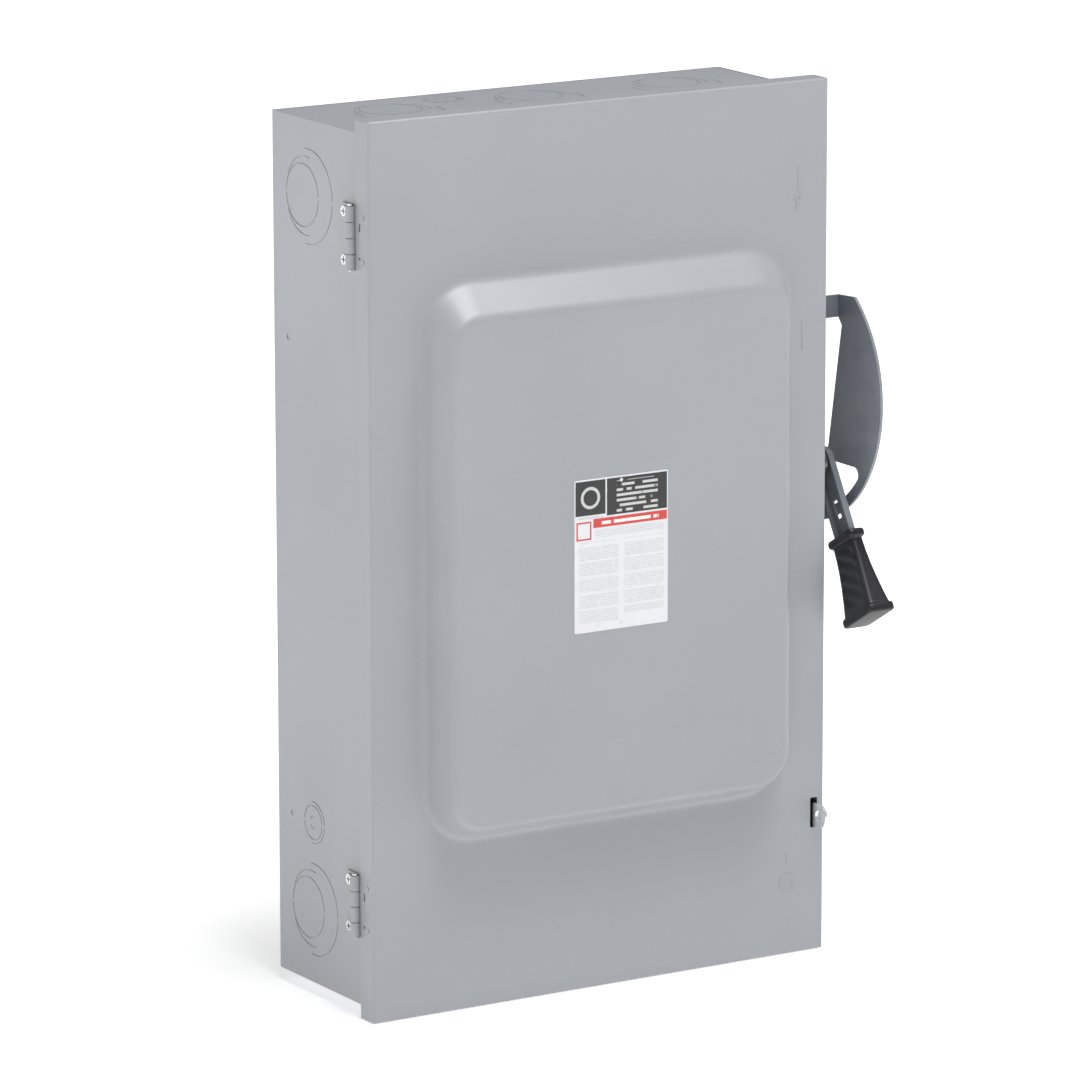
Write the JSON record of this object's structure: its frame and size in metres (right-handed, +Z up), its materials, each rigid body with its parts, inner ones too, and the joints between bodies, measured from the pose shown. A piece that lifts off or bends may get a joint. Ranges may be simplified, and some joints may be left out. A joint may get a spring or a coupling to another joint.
{
  "type": "ac disconnect box",
  "caption": "Wall-mounted fusible disconnect switch: grey steel box, hinged embossed cover, side handle with guard.",
  "frame": {"origin": "centre of the four wall-mounting holes, on the rear face of the box", "axes": "+Z up along the box, +Y into the wall, +X towards the handle side"},
  "size_m": [0.4671, 0.2022, 0.711],
  "materials": {
    "grey_paint": "semi-gloss light grey enamel on sheet steel",
    "dark_grey_paint": "semi-gloss mid grey enamel on thick steel",
    "grip_plastic": "moulded black, fine texture",
    "zinc": "bright zinc plating",
    "bare_steel": "satin",
    "label_paper": "printed film",
    "base_moulding": "moulded thermoset",
    "copper": "tarnished copper",
    "lug_aluminium": "tin-plated",
    "fibre": "vulcanised fibre",
    "fuse_tube": "paper tube",
    "shield_plastic": "translucent grey sheet"
  },
  "bodies": {
    "enclosure": {"enclosure_wrap": "grey_paint", "top_end_wall": "grey_paint", "bottom_end_wall": "grey_paint", "padlock_tab": "zinc", "hinge_box_leaves": "grey_paint", "hinge_pins": "zinc", "hinge_screws": "zinc", "handle_guard": "dark_grey_paint", "guard_rivets": "dark_grey_paint", "shaft_bushing": "bare_steel", "bushing_nut": "zinc", "wave_washer": "zinc", "crossbar_bracket": "zinc", "mechanism_frame": "zinc", "spring_anchor": "zinc", "toggle_spring": "bare_steel", "mounting_pan": "zinc", "pan_screws": "zinc", "line_base": "base_moulding", "load_base": "base_moulding", "line_jaws": "copper", "load_jaws": "copper", "load_clips": "copper", "fuse_tubes": "fuse_tube", "fuse_ends": "copper", "line_lugs": "lug_aluminium", "load_lugs": "lug_aluminium", "lug_screws": "zinc", "arc_chute_cheeks": "fibre", "arc_plates": "bare_steel", "line_shield": "shield_plastic", "neutral_base": "base_moulding", "neutral_bar": "lug_aluminium", "neutral_screws": "zinc", "ground_bar": "lug_aluminium", "ground_screws": "zinc"},
    "cover": {"cover": "grey_paint", "front_label": "label_paper", "hinge_cover_leaves": "grey_paint", "cover_hinge_rivets": "grey_paint", "interlock_hook": "zinc"},
    "handle": {"operating_lever": "dark_grey_paint", "handle_grip": "grip_plastic", "handle_shaft": "bare_steel", "handle_crank": "bare_steel", "crank_pin": "bare_steel", "interlock_cam": "bare_steel"},
    "link": {"drive_link": "bare_steel"},
    "crossbar": {"crossbar": "base_moulding", "crossbar_stubs": "bare_steel", "crossbar_arm": "bare_steel", "switch_blades": "copper"}
  },
  "joints": [
    {"name": "cover_hinge", "type": "hinge", "parent": "enclosure", "child": "cover", "pos_m": [-0.212, -0.131, 0], "axis": [0, 0, -1], "range_deg": [0, 120]},
    {"name": "handle_pivot", "type": "hinge", "parent": "enclosure", "child": "handle", "pos_m": [0.2, -0.1148, 0.0371], "axis": [-1, 0, 0], "range_deg": [0, 120], "deforming": ["toggle_spring"]},
    {"name": "link_swing", "type": "hinge", "parent": "handle", "child": "link", "pos_m": [0.142, -0.08484, 0.03867], "axis": [-1, 0, 0], "range_deg": [-120, 0]},
    {"name": "crossbar_turn", "type": "hinge", "parent": "enclosure", "child": "crossbar", "pos_m": [0, -0.072, 0.065], "axis": [-1, 0, 0], "range_deg": [0, 120]}
  ],
  "couplings": [
    {"joint": "link_swing", "follows": "handle_pivot", "ratio": -1},
    {"joint": "crossbar_turn", "follows": "handle_pivot", "ratio": 1}
  ]
}
